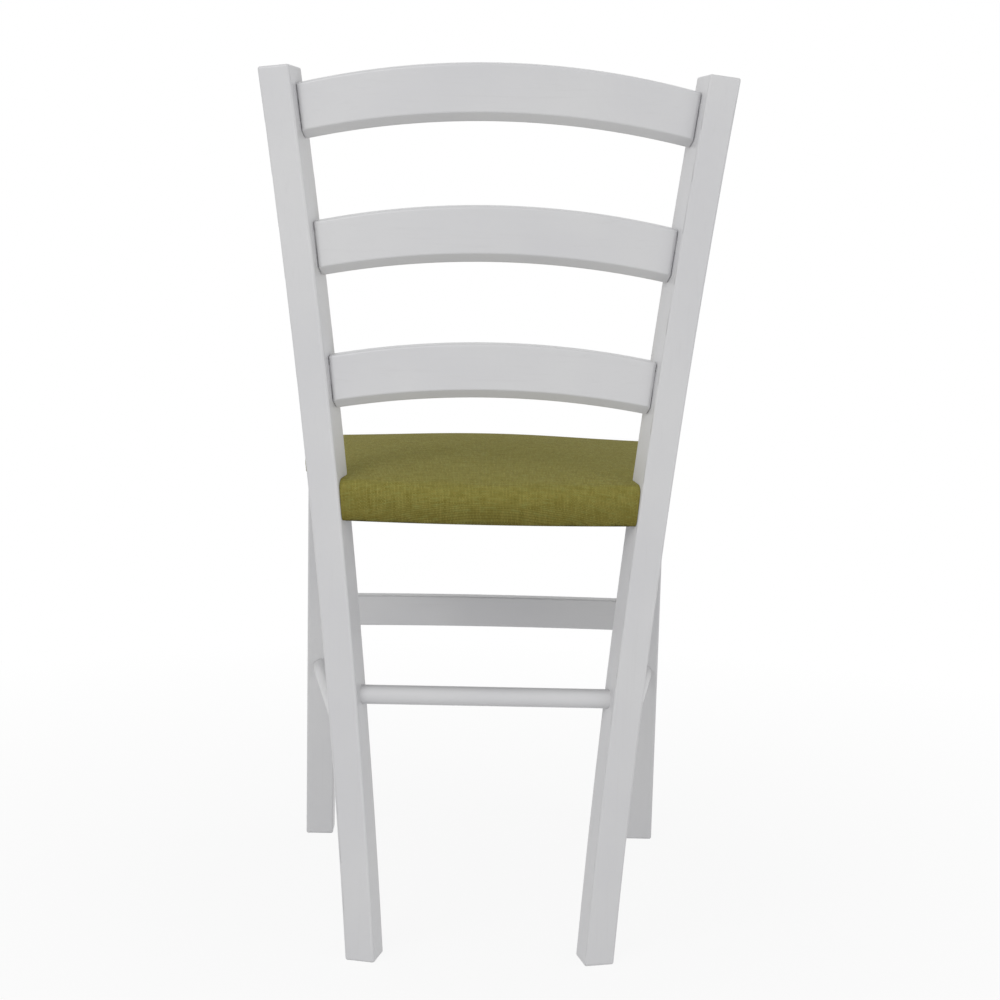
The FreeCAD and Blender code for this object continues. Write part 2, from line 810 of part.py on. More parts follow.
def leg_clearance(name, height):
    """Room for the front legs where they pass through cloth under the frame."""
    half = LEG_HEAD_HALF + cloth
    foot = SEAT_FOOT - size("seat_rail_height")
    left = box(f"{name}_left", 2 * half, 2 * half, height, moved(LEG_X - half, LEG_Y - half, foot))
    return [left, mirror(f"{name}_right", left)]


# Seat board: plywood on top of the frame, with holes that let the stuffing breathe

board_level = "seat_rail_underside + seat_rail_height"
board_slab = seat_slab("seat_board", -size("seat_board_inset"), board_level, "seat_board_thickness")
vent_spacing = "vent_hole_spacing"
vent_y = (seat_post.y + FRAME_FRONT) / 2
vent_sketch = circle_sketch(
    board_slab, "vent_circle", "XY_Plane", "vent_hole_diameter", board_level, (vent_spacing, vent_y)
)
vent = pocket_through(board_slab, "vent_holes", vent_sketch)
doc.recompute()
vent_row = board_slab.newObject("PartDesign::LinearPattern", "vent_row")
vent_row.Originals = [vent]
vent_row.Direction = (body_plane(board_slab, "X_Axis"), [""])
vent_row.Reversed = True
vent_row.Occurrences = 3
vent_row.Length = number("2 * vent_hole_spacing")
bind(vent_row, "Length", "2 * vent_hole_spacing")
board_slab.Tip = vent_row
doc.recompute()

# Stuffing and cover. The stuffing wraps over the board, and the cover goes round the frame and
# turns under it.

above_frame = box(
    "above_frame", 4 * LEG_X, 4 * LEG_X, 4 * RAIL, moved(-2 * LEG_X, -3 * LEG_X, number(LEG_TOP))
)
pieces["seat_foam"] = notched("stuffing_cut", common("stuffing_top", inner_form, above_frame), [board_slab])
hem_opening = seat_slab(
    "hem_opening", -size("cover_turn_under"), "seat_rail_underside - seat_rail_height", "seat_rail_height"
)
pieces["seat_cover"] = notched(
    "cover_cut", outer_form, [inner_form, hem_opening] + leg_clearance("cover_leg_room", "seat_rail_height")
)
dust_level = "seat_rail_underside - cover_hem_thickness - dust_cloth_thickness"
dust_slab = seat_slab("dust_cloth", -size("dust_cloth_inset"), dust_level, "dust_cloth_thickness")
pieces["dust_cloth"] = notched("dust_cloth_cut", dust_slab, leg_clearance("dust_leg_room", "seat_rail_height"))

# The legs' outer corners follow the seat's rounded corners inside the cover
leg_room = box(
    "leg_top_zone", 4 * LEG_HEAD_HALF, 4 * LEG_HEAD_HALF, "seat_rail_height",
    moved(LEG_X - 2 * LEG_HEAD_HALF, LEG_Y - 2 * LEG_HEAD_HALF, SEAT_FOOT),
)
leg_cuts.append(cut("leg_top_waste", leg_room, [inner_form]))


# Corner blocks, screwed to the rails, and the screws. A screw's own frame has its origin in the
# middle of its head and Z out of the head.


def screw_body(name, length):
    body = new_body(name)
    shank = "screw_diameter / 2"
    head = "screw_head_diameter / 2"
    corners = [
        (0, 0),
        (head, 0),
        (shank, "-screw_head_height"),
        (shank, f"-({length} - screw_diameter)"),
        (0, f"-({length})"),
    ]
    sketch = outline_sketch(body, f"{name}_half_profile", "XZ_Plane", corners)
    turning = body.newObject("PartDesign::Revolution", f"{name}_turning")
    turning.Profile = sketch
    turning.ReferenceAxis = (body_plane(body, "Z_Axis"), [""])
    turning.Angle = 360
    sketch.Visibility = False
    doc.recompute()
    return body


def copies(name, shape, places):
    """One object that holds a copy of the shape at each place."""
    feature = doc.addObject("Part::Feature", name)
    placed = [shape.copy() for _ in places]
    for copy, place in zip(placed, places):
        copy.Placement = place * copy.Placement
    feature.Shape = Part.makeCompound(placed)
    return feature


def both_sides(places):
    """Left-hand placements with their mirror images across the chair's middle."""
    flip = FreeCAD.Matrix()
    flip.A11 = -1
    mirrored = [FreeCAD.Placement(flip * place.Matrix * flip) for place in places]
    return places + mirrored


def screw_holes(name, length, places):
    """The holes of a set of screws: pilot, countersink and a clear way in behind each head."""
    gap = size("screw_gap")
    shank = size("screw_diameter") / 2 + gap
    head = size("screw_head_diameter") / 2 + gap
    depth = size("screw_head_height")
    down = V(0, 0, -1)
    hole = Part.makeCylinder(shank, number(length) + gap, V(), down)
    hole = hole.fuse(Part.makeCone(head, shank, depth, V(), down))
    hole = hole.fuse(Part.makeCylinder(head, 3 * RAIL, V(), Z_AXIS))
    return copies(name, hole, places)


block_foot = SEAT_MIDDLE - size("corner_block_height") / 2
block_reach = size("corner_block_reach")


def block_blank(name, corner, first, second):
    """A triangular block between two rails, reaching from the corner along both directions."""
    points = [corner, corner + first * block_reach, corner + second * block_reach]
    body = new_body(f"{name}_blank")
    outline = outline_sketch(body, f"{name}_plan", "XY_Plane", [(p.x, p.y) for p in points], None, block_foot)
    pad(body, f"{name}_height", outline, "corner_block_height")
    return body


to_rear = rail_frame.Rotation.multVec(X_AXIS)
inward = V(-1, 0, 0)
fore_corner = V(LEG_X, LEG_Y, 0)
rear_corner = V(seat_post.x, seat_post.y, 0)
block_blanks = {
    "corner_block_front": block_blank("corner_block_front", fore_corner, to_rear, inward),
    "corner_block_rear": block_blank("corner_block_rear", rear_corner, to_rear * -1, inward),
}

# Each block has one screw into the side rail and one into the front or back rail
into_rail = size("block_screw_length") - 0.75 * RAIL
screw_reach = 0.62 * block_reach
side_inward = rail_frame.Rotation.multVec(Y_AXIS)


def screw_place(point, out):
    return FreeCAD.Placement(point + out * into_rail, FreeCAD.Rotation(Z_AXIS, out))


side_face = rail_frame.Base + side_inward * (RAIL / 2)
front_inner = V(LEG_X - screw_reach, FRAME_FRONT + RAIL - 2, SEAT_MIDDLE)
back_inner_y = seat_post.y - RAIL / 2
block_places = both_sides(
    [
        screw_place(front_inner, Y_AXIS),
        screw_place(side_face + to_rear * (screw_reach - LEG_HEAD_HALF), side_inward),
        screw_place(side_face + to_rear * (rail_line.Length - screw_reach), side_inward),
        screw_place(V(seat_post.x - screw_reach, back_inner_y + 4, SEAT_MIDDLE), Y_AXIS * -1),
    ]
)
block_screw = screw_body("block_screw", "block_screw_length")
pieces["block_screws"] = copies("block_screw_set", block_screw.Shape, block_places)
block_holes = screw_holes("block_screw_holes", "block_screw_length", block_places)

# Countersunk screws through the board into the rails
board_top = number(LEG_TOP) + size("seat_board_thickness")
side_middle = rail_frame.Base
front_row = [V(x, FRAME_FRONT + 0.4 * RAIL, board_top) for x in (LEG_X * 0.3,)]
back_row = [V(LEG_X * 0.3, seat_post.y + RAIL * 0.25, board_top)]
side_row = [side_middle + to_rear * (rail_line.Length * share) for share in (0.3, 0.7)]
board_places = both_sides([moved(p.x, p.y, board_top) for p in front_row + back_row + side_row])
board_screw = screw_body("board_screw", "board_screw_length")
pieces["board_screws"] = copies("board_screw_set", board_screw.Shape, board_places)
board_holes = screw_holes("board_screw_holes", "board_screw_length", board_places)
pieces["seat_board"] = notched("seat_board_cut", board_slab, [board_holes])
for rail in ("front", "back", "left"):
    name = f"seat_rail_{rail}"
    pieces[name] = cut(f"{name}_drilled", pieces[name], [block_holes, board_holes])
pieces["seat_rail_right"] = mirror("seat_rail_right_drilled", pieces["seat_rail_left"])

block_neighbours = {
    "corner_block_front": [pieces["seat_rail_front"], pieces["seat_rail_left"], leg_body],
    "corner_block_rear": [pieces["seat_rail_back"], pieces["seat_rail_left"], post_clearance],
}
for name, blank in block_blanks.items():
    block = cut(f"{name}_fitted", blank, block_neighbours[name] + [block_holes])
    pieces[f"{name}_left"] = block
    pieces[f"{name}_right"] = mirror(f"{name}_right_fitted", block)

# Posts and front legs, with their mortises and holes
pieces["rear_post_left"] = cut("post_left_mortised", post_body, post_cuts)
pieces["rear_post_right"] = mirror("post_right_mortised", pieces["rear_post_left"])
pieces["front_leg_left"] = cut("leg_left_mortised", leg_body, leg_cuts)
pieces["front_leg_right"] = mirror("leg_right_mortised", pieces["front_leg_left"])
doc.recompute()

# The chair's own origin is on the floor, under the middle of its outline
whole = Part.makeCompound([piece.Shape for piece in pieces.values()])
bounds = whole.optimalBoundingBox()
centred = moved(-(bounds.XMin + bounds.XMax) / 2, -(bounds.YMin + bounds.YMax) / 2, -bounds.ZMin)
for name, piece in pieces.items():
    node = doc.addObject("Part::Compound", name)
    node.Label = name
    node.Links = [piece]
    node.Placement = centred
doc.recompute()

failed = [item.Name for item in doc.Objects if {"Invalid", "Error"} & set(item.State)]
if failed:
    raise RuntimeError(f"these objects failed: {failed}")
os.makedirs("parts", exist_ok=True)
for name in pieces:
    shape = doc.getObject(name).Shape
    if shape.isNull() or not shape.isValid() or not shape.Solids:
        raise RuntimeError(f"{name} is not a valid solid")
    shape.exportStep(f"parts/{name}.step")
    print(f"{name}: {len(shape.Solids)} solids, {shape.Volume / 1000:.1f} cm3")
print(f"bounds {bounds.XLength:.1f} x {bounds.YLength:.1f} x {bounds.ZLength:.1f} mm")
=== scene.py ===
import json
import math

import bmesh
import bpy
from mathutils import Matrix, Vector

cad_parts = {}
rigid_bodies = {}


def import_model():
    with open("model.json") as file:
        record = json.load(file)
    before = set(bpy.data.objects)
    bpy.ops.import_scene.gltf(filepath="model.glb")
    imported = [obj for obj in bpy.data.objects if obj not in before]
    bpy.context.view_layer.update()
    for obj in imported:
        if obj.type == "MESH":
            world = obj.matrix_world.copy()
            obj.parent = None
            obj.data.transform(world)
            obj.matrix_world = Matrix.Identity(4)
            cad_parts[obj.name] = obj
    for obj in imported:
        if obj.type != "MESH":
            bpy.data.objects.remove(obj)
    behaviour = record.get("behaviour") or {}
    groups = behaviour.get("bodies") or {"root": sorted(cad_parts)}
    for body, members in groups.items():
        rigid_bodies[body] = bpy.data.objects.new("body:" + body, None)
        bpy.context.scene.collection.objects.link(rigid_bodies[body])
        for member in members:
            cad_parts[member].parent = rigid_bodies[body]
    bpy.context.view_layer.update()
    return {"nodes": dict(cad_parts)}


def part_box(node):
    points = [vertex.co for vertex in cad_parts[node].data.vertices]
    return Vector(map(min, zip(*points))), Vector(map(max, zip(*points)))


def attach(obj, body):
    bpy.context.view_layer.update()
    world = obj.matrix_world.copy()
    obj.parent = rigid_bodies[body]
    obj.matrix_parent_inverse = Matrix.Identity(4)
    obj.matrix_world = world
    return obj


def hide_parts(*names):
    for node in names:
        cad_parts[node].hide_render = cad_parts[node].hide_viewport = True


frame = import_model()
nodes = frame["nodes"]

MM = 0.001


# Shader maths: a Wave wraps a socket, and an expression on waves adds its nodes


class Wave:
    def __init__(self, paint, socket):
        self.paint = paint
        self.socket = socket

    def _math(self, operation, *values):
        return self.paint.node("ShaderNodeMath", {"operation": operation}, *values)

    def __add__(self, other):
        return self._math("ADD", self, other)

    def __radd__(self, other):
        return self._math("ADD", other, self)

    def __sub__(self, other):
        return self._math("SUBTRACT", self, other)

    def __rsub__(self, other):
        return self._math("SUBTRACT", other, self)

    def __mul__(self, other):
        return self._math("MULTIPLY", self, other)

    def __rmul__(self, other):
        return self._math("MULTIPLY", other, self)

    def sine(self):
        return self._math("SINE", self)

    def most(self, other):
        return self._math("MAXIMUM", self, other)

    def fraction(self):
        return self._math("FRACT", self)

    def whole(self):
        return self._math("FLOOR", self)

    def above(self, other):
        return self._math("GREATER_THAN", self, other)

    def stretch(self, low, high, new_low=0.0, new_high=1.0):
        """Maps low..high to new_low..new_high, and holds the ends."""
        values = {"Value": self, "From Min": low, "From Max": high, "To Min": new_low, "To Max": new_high}
        return self.paint.node("ShaderNodeMapRange", {"clamp": True}, **values)


class Paint:
    """One material and its nodes."""

    def __init__(self, name):
        self.material = bpy.data.materials.new(name)
        self.material.use_nodes = True
        self.tree = self.material.node_tree
        self.shader = self.tree.nodes["Principled BSDF"]

    def _fill(self, socket, value):
        if isinstance(value, Wave):
            self.tree.links.new(value.socket, socket)
        elif isinstance(value, (tuple, list)) and len(value) == 3 and socket.type == "RGBA":
            socket.default_value = (*value, 1.0)
        else:
            socket.default_value = value

    def node(self, kind, settings=None, *values, output=0, **named):
        made = self.tree.nodes.new(kind)
        for key, value in (settings or {}).items():
            setattr(made, key, value)
        for index, value in enumerate(values):
            self._fill(made.inputs[index], value)
        for key, value in named.items():
            self._fill(made.inputs[key.replace("_", " ")], value)
        return Wave(self, made.outputs[output])

    def place(self):
        """The point of the surface in the object's own metres."""
        return self.node("ShaderNodeTexCoord", output="Object")

    def mapping(self, vector, scale):
        return self.node("ShaderNodeMapping", {}, Vector=vector, Scale=scale)

    def speckle(self, vector, scale, detail=2.0, roughness=0.5, distortion=0.0):
        values = {"Vector": vector, "Scale": scale, "Detail": detail, "Roughness": roughness}
        return self.node("ShaderNodeTexNoise", {}, Distortion=distortion, **values)

    def axes(self, vector):
        made = self.tree.nodes.new("ShaderNodeSeparateXYZ")
        self._fill(made.inputs[0], vector)
        return [Wave(self, socket) for socket in made.outputs]

    def vector(self, x, y, z):
        return self.node("ShaderNodeCombineXYZ", {}, x, y, z)

    def mix(self, share, first, second, blend="MIX"):
        made = self.tree.nodes.new("ShaderNodeMix")
        made.data_type = "RGBA"
        made.blend_type = blend
        self._fill(made.inputs[0], share)
        self._fill(made.inputs[6], first)
        self._fill(made.inputs[7], second)
        return Wave(self, made.outputs[2])

    def bump(self, height, strength, depth):
        return self.node("ShaderNodeBump", {}, Height=height, Strength=strength, Distance=depth)

    def finish(self, colour, roughness, normal=None, **plain):
        self._fill(self.shader.inputs["Base Color"], colour)
        self._fill(self.shader.inputs["Roughness"], roughness)
        if normal is not None:
            self._fill(self.shader.inputs["Normal"], normal)
        for key, value in plain.items():
            self.shader.inputs[key.replace("_", " ")].default_value = value
        return self.material


def srgb(red, green, blue):
    """A colour from 0..255 screen values."""
    return tuple(
        ((value / 255 + 0.055) / 1.055) ** 2.4 if value > 10 else value / 3294
        for value in (red, green, blue)
    )


# White satin lacquer over wood: the grain shows only as faint ripples along each piece


def lacquer(name, along):
    """along is the axis of the grain: 0, 1 or 2."""
    paint = Paint(name)
    place = paint.place()
    scale = [260.0, 260.0, 260.0]
    scale[along] = 7.0
    pores = paint.speckle(paint.mapping(place, scale), 1.0, detail=3.0, roughness=0.6)
    wide = [36.0, 36.0, 36.0]
    wide[along] = 2.2
    bands = paint.speckle(paint.mapping(place, wide), 1.0, detail=2.0, distortion=0.4)
    peel = paint.speckle(place, 320.0, detail=1.0)
    cloud = paint.speckle(place, 9.0, detail=2.0)
    shade = paint.mix(cloud.stretch(0.35, 0.65), srgb(212, 212, 214), srgb(216, 216, 217))
    shade = paint.mix(pores.stretch(0.56, 0.74, 0.0, 0.16), shade, srgb(200, 199, 200))
    height = pores * 0.5 + bands * 0.35 + peel * 0.15
    roughness = cloud.stretch(0.3, 0.7, 0.36, 0.44) + pores.stretch(0.5, 0.8, 0.0, 0.06)
    normal = paint.bump(height, 0.22, 0.0003)
    return paint.finish(shade, roughness, normal, Coat_Weight=0.12, Coat_Roughness=0.3)


LENGTHWISE = lacquer("lacquer_upright", 2)
CROSSWISE = lacquer("lacquer_crosswise", 0)
FRONT_TO_BACK = lacquer("lacquer_front_to_back", 1)


def bare_wood(name, along, light, dark):
    paint = Paint(name)
    place = paint.place()
    scale = [90.0, 90.0, 90.0]
    scale[along] = 5.0
    rings = paint.speckle(paint.mapping(place, scale), 1.0, detail=4.0, distortion=0.8)
    fleck_scale = [700.0, 700.0, 700.0]
    fleck_scale[along] = 60.0
    flecks = paint.speckle(paint.mapping(place, fleck_scale), 1.0, detail=1.0)
    colour = paint.mix(rings.stretch(0.3, 0.7), light, dark)
    colour = paint.mix(flecks.stretch(0.6, 0.72, 0.0, 0.35), colour, srgb(120, 82, 50))
    normal = paint.bump(rings * 0.6 + flecks * 0.4, 0.35, 0.0004)
    return paint.finish(colour, flecks.stretch(0.3, 0.7, 0.62, 0.75), normal)


BEECH_CROSSWISE = bare_wood("beech_crosswise", 0, srgb(214, 180, 138), srgb(190, 150, 106))
BEECH_LENGTHWISE = bare_wood("beech_lengthwise", 1, srgb(214, 180, 138), srgb(190, 150, 106))
PLYWOOD = bare_wood("plywood", 1, srgb(221, 194, 150), srgb(199, 166, 118))


def steel():
    paint = Paint("zinc_plated_steel")
    place = paint.place()
    cloud = paint.speckle(place, 900.0, detail=2.0)
    colour = paint.mix(cloud.stretch(0.3, 0.7), srgb(178, 180, 184), srgb(205, 206, 208))
    return paint.finish(colour, cloud.stretch(0.3, 0.7, 0.28, 0.42), Metallic=1.0)


STEEL = steel()

FINISH = {
    "rear_post_left": LENGTHWISE,
    "rear_post_right": LENGTHWISE,
    "front_leg_left": LENGTHWISE,
    "front_leg_right": LENGTHWISE,
    "slat_top": CROSSWISE,
    "slat_middle": CROSSWISE,
    "slat_bottom": CROSSWISE,
    "front_rail": CROSSWISE,
    "rear_stretcher": CROSSWISE,
    "side_stretcher_left": FRONT_TO_BACK,
    "side_stretcher_right": FRONT_TO_BACK,
    "seat_rail_front": BEECH_CROSSWISE,
    "seat_rail_back": BEECH_CROSSWISE,
    "seat_rail_left": BEECH_LENGTHWISE,
    "seat_rail_right": BEECH_LENGTHWISE,
    "corner_block_front_left": BEECH_CROSSWISE,
    "corner_block_front_right": BEECH_CROSSWISE,
    "corner_block_rear_left": BEECH_CROSSWISE,
    "corner_block_rear_right": BEECH_CROSSWISE,
    "seat_board": PLYWOOD,
    "block_screws": STEEL,
    "board_screws": STEEL,
}
for name, material in FINISH.items():
    nodes[name].data.materials.clear()
    nodes[name].data.materials.append(material)


# Seat fabric: a coarse linen weave of olive yarns that differ in tone


def seat_fabric():
    """The cloth's own map runs in metres: U across the chair, V from front to back and down."""
    paint = Paint("olive_linen")
    cloth = paint.node("ShaderNodeUVMap", {"uv_map": CLOTH_MAP})
    across, down, _ = paint.axes(cloth)
    slow = paint.speckle(cloth, 14.0, detail=2.0)
    wander = (slow - 0.5) * 0.0015
    warp = (across + wander) * YARNS_PER_METRE
    weft = (down + wander) * YARNS_PER_METRE
    warp_row = warp.whole()
    weft_row = weft.whole()
    warp_bulge = (warp.fraction() * math.pi).sine()
    weft_bulge = (weft.fraction() * math.pi).sine()
    checker = ((warp_row + weft_row) * 0.5).fraction().above(0.25)
    height = warp_bulge * (checker * 0.65 + 0.35) + weft_bulge * (1.0 - checker * 0.65)
    warp_tone = paint.speckle(paint.vector(warp_row * 0.37, down * 55.0, 0.0), 1.0, detail=2.0)
    weft_tone = paint.speckle(paint.vector(across * 55.0, weft_row * 0.37, 4.0), 1.0, detail=2.0)
    slub = paint.speckle(paint.vector(across * 560.0, down * 110.0, 9.0), 1.0, detail=2.0)
    cross_slub = paint.speckle(paint.vector(across * 110.0, down * 560.0, 2.0), 1.0, detail=2.0)
    tone = warp_tone * checker + weft_tone * (1.0 - checker)
    colour = paint.mix(tone.stretch(0.3, 0.7), OLIVE_DARK, OLIVE)
    colour = paint.mix(slub.stretch(0.5, 0.75, 0.0, 0.5), colour, OLIVE_GOLD)
    colour = paint.mix(cross_slub.stretch(0.5, 0.74, 0.0, 0.55), colour, OLIVE_GREEN)
    # Painted shade: the weave's hollows are darkened toward deep olive, as if shadowed between the yarns
    hollow_shade = height.stretch(0.2, 0.9, 0.75, 0.0)
    colour = paint.mix(hollow_shade, colour, OLIVE_PAINTED_SHADE)
    colour = paint.mix(slow.stretch(0.35, 0.65, 0.0, 0.16), colour, OLIVE_DARK)
    # Painted shade: the cloth is mixed toward deep olive near its hem, by height, for the shade low on
    # the cushion
    level = paint.axes(paint.place())[2]
    colour = paint.mix(level.stretch(HEM_LEVEL, HEM_LEVEL + PAINTED_SHADE_RISE, 0.6, 0.0), colour, OLIVE_PAINTED_SHADE)
    relief = paint.bump(height * 0.7 + slub * 0.3, 0.55, 0.0006)
    roughness = tone.stretch(0.3, 0.7, 0.82, 0.92)
    return paint.finish(
        colour, roughness, relief, Sheen_Weight=0.03, Sheen_Roughness=0.5, Specular_IOR_Level=0.06
    )


CLOTH_MAP = "cloth"
HEM_LEVEL = 0.424
# Painted shade: the cloth is darkened from its hem up to this much above it
PAINTED_SHADE_RISE = 0.042
YARNS_PER_METRE = 760.0
OLIVE = srgb(162, 156, 84)
OLIVE_DARK = srgb(130, 121, 54)
# The painted shade colour, used in the weave's hollows and toward the hem
OLIVE_PAINTED_SHADE = srgb(88, 78, 28)
OLIVE_GOLD = srgb(184, 171, 96)
OLIVE_GREEN = srgb(162, 169, 100)
FABRIC = seat_fabric()


def felt():
    paint = Paint("black_lining_felt")
    place = paint.place()
    fibres = paint.speckle(place, 1400.0, detail=3.0, roughness=0.7)
    cloud = paint.speckle(place, 30.0, detail=2.0)
    colour = paint.mix(fibres.stretch(0.35, 0.7), srgb(28, 28, 30), srgb(62, 62, 64))
    colour = paint.mix(cloud.stretch(0.35, 0.65, 0.0, 0.3), colour, srgb(24, 24, 25))
    return paint.finish(colour, fibres.stretch(0.3, 0.7, 0.88, 0.96), paint.bump(fibres, 0.4, 0.0003))


FELT = felt()


# Pieces that the scene makes


def add_piece(name, mesh_maker, material):
    """A new piece whose bmesh is finished, smooth and in its place."""
    mesh = bpy.data.meshes.new(name)
    mesh_maker.to_mesh(mesh)
    mesh_maker.free()
    mesh.materials.append(material)
    mesh.shade_smooth()
    piece = bpy.data.objects.new(name, mesh)
    bpy.context.scene.collection.objects.link(piece)
    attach(piece, "root")
    return piece


leg_low, leg_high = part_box("front_leg_left")


def merged(node):
    """A bmesh copy of a CAD node, with the loose triangles joined."""
    shape = bmesh.new()
    shape.from_mesh(nodes[node].data)
    bmesh.ops.remove_doubles(shape, verts=shape.verts, dist=0.01 * MM)
    return shape


# The seat's plan: two straight sides, a gently bowed front and back, and rounded front corners

cover_low, cover_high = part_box("seat_cover")
board_low, board_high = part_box("seat_board")
rail_low, rail_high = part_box("seat_rail_front")
LEG_HALF = (leg_high.x - leg_low.x) / 2
LEG_SPOT = Vector(((leg_low.x + leg_high.x) / 2, (leg_low.y + leg_high.y) / 2, 0.0))
FRAME_FOOT = rail_low.z
SKIN = 3.3 * MM
CLEARANCE = 0.4 * MM
HEM = 14 * MM
FRONT_RADIUS = 1.85
BACK_RADIUS = 0.85
CORNER_RADIUS = 25 * MM


def middle_near(node, level):
    """The middle of a slender node's outline near a level."""
    near = [vertex.co for vertex in nodes[node].data.vertices if abs(vertex.co.z - level) < 40 * MM]
    xs = [point.x for point in near]
    ys = [point.y for point in near]
    return Vector(((min(xs) + max(xs)) / 2, (min(ys) + max(ys)) / 2, level))


POST_SPOT = middle_near("rear_post_left", (rail_low.z + rail_high.z) / 2)
# A seat rail is 20 mm thick, two thirds of its height
RAIL_HALF = (rail_high.z - rail_low.z) / 3
SIDE_START = Vector((LEG_SPOT.x + LEG_HALF - RAIL_HALF, LEG_SPOT.y + LEG_HALF, 0.0))
SIDE_RUN = (Vector((POST_SPOT.x, POST_SPOT.y, 0.0)) - SIDE_START).normalized()
SIDE_OUT = Vector((SIDE_RUN.y, -SIDE_RUN.x, 0.0))


def keep_inside(shape, point, outward):
    """Cuts off what lies beyond a plane, and closes the cut."""
    geometry = list(shape.verts) + list(shape.edges) + list(shape.faces)
    cut = bmesh.ops.bisect_plane(
        shape, geom=geometry, plane_co=point, plane_no=outward, clear_outer=True, dist=0.001 * MM
    )
    rim = [item for item in cut["geom_cut"] if isinstance(item, bmesh.types.BMEdge)]
    bmesh.ops.holes_fill(shape, edges=rim, sides=0)


def bow(shape, middle, radius, facing, half_angle, pieces):
    """Bows one end of the block with planes that touch an arc."""
    for index in range(pieces):
        angle = half_angle * (2 * index / (pieces - 1) - 1)
        outward = Vector((math.sin(angle), facing * math.cos(angle), 0.0))
        centre = Vector((0.0, middle - facing * radius, 0.0))
        keep_inside(shape, centre + outward * radius, outward)


def seat_block(growth, low, high):
    """A block with the seat's plan, grown all round, between two levels."""
    shape = bmesh.new()
    bmesh.ops.create_cube(shape, size=1.0)
    bmesh.ops.scale(shape, verts=shape.verts, vec=(0.6, 0.8, high - low))
    bmesh.ops.translate(shape, verts=shape.verts, vec=(0.0, 0.0, (low + high) / 2))
    front = cover_low.y + SKIN - growth
    bow(shape, front, FRONT_RADIUS, -1, math.radians(6), 5)
    bow(shape, cover_high.y - SKIN + growth, BACK_RADIUS, 1, math.radians(10), 7)
    side_point = SIDE_START + SIDE_OUT * (RAIL_HALF + growth)
    for side in (1, -1):
        mirror = Vector((side, 1.0, 1.0))
        keep_inside(shape, side_point * mirror, SIDE_OUT * mirror)
        round_by = CORNER_RADIUS + min(growth, 0.0)
        along = (front + FRONT_SAG + round_by - side_point.y) / SIDE_RUN.y
        centre = side_point + SIDE_RUN * along - SIDE_OUT * round_by
        for step in range(1, 6):
            angle = math.radians(15 * step)
            outward = Vector((math.cos(angle), -math.sin(angle), 0.0))
            keep_inside(shape, (centre + outward * round_by) * mirror, outward * mirror)
    bmesh.ops.recalc_face_normals(shape, faces=shape.faces)
    return shape


# The bowed front lies this much further back at the corners
FRONT_SAG = 10 * MM
LEG_ROOM_FOOT = 0.4
VOXEL = 5 * MM
TRAVEL = 5 * MM
STEPS = 20
EDGE_ROUND = 6 * MM
CROWN = 16 * MM
CROWN_FOOT = board_high.z + 2.2 * MM
BACK_BULGE = 10 * MM


def scene_object(name, shape):
    """An object of the scene with this bmesh as its shape."""
    mesh = bpy.data.meshes.new(name)
    shape.to_mesh(mesh)
    shape.free()
    made = bpy.data.objects.new(name, mesh)
    bpy.context.scene.collection.objects.link(made)
    return made


def applied(piece):
    """Replaces the piece's mesh by what its modifiers make of it."""
    depsgraph = bpy.context.evaluated_depsgraph_get()
    mesh = bpy.data.meshes.new_from_object(piece.evaluated_get(depsgraph))
    piece.modifiers.clear()
    piece.data = mesh


def freedom(point):
    """How freely the cover may swell here: not at its hem, where it is stapled, nor at the posts."""
    hem = min(1.0, max(0.0, (point.z - cover_low.z - 3 * MM) / (25 * MM)))
    away = math.hypot(abs(point.x) - POST_SPOT.x, point.y - POST_SPOT.y)
    at_post = 0.15 + 0.85 * min(1.0, max(0.0, (away - 22 * MM) / (30 * MM)))
    return hem * at_post * (0.35 + 0.65 * dome(point) / CROWN)


def swell(piece):
    """Lets the stuffing press the cover out, and caps how far it goes."""
    start = [(vertex.co.copy(), vertex.normal.copy()) for vertex in piece.data.vertices]
    cloth = piece.modifiers.new("stuffing", "CLOTH")
    settings = cloth.settings
    settings.quality = 6
    settings.mass = 0.3
    settings.tension_stiffness = 12
    settings.compression_stiffness = 12
    settings.bending_stiffness = 0.6
    settings.use_pressure = True
    settings.uniform_pressure_force = 4.0
    settings.effector_weights.gravity = 0.0
    cloth.point_cache.frame_start = 1
    cloth.point_cache.frame_end = STEPS
    for step in range(1, STEPS + 1):
        bpy.context.scene.frame_set(step)
    applied(piece)
    bpy.context.scene.frame_set(1)
    for vertex, (first, outward) in zip(piece.data.vertices, start):
        push = vertex.co - first
        push -= outward * min(0.0, push.dot(outward))
        limit = TRAVEL * freedom(first)
        if push.length > limit:
            push = push * (limit / push.length)
        vertex.co = first + push


def dome(point):
    """Lifts the cushion's top into its crown: highest in the middle, low at the rim."""
    share_x = min(1.0, abs(point.x) / cover_high.x)
    middle_y = (cover_low.y + cover_high.y) / 2
    share_y = min(1.0, abs(point.y - middle_y) / (cover_high.y - middle_y))
    return CROWN * (1 - share_x ** 2) * (1 - share_y ** 2)


def bulge(point):
    """Presses the cushion's back out between the posts, most at half its height."""
    share_x = min(1.0, abs(point.x) / (POST_SPOT.x - 16 * MM))
    height = min(1.0, max(0.0, (point.z - cover_low.z) / (CROWN_FOOT + 4 * MM - cover_low.z)))
    reach = min(1.0, max(0.0, (point.y - cover_high.y + 45 * MM) / (40 * MM)))
    return BACK_BULGE * (1 - share_x ** 2) * math.sin(math.pi * height ** 1.35) * reach ** 2


def cutter(name, shape):
    made = scene_object(name, shape)
    cutters.objects.link(made)
    bpy.context.scene.collection.objects.unlink(made)
    return made


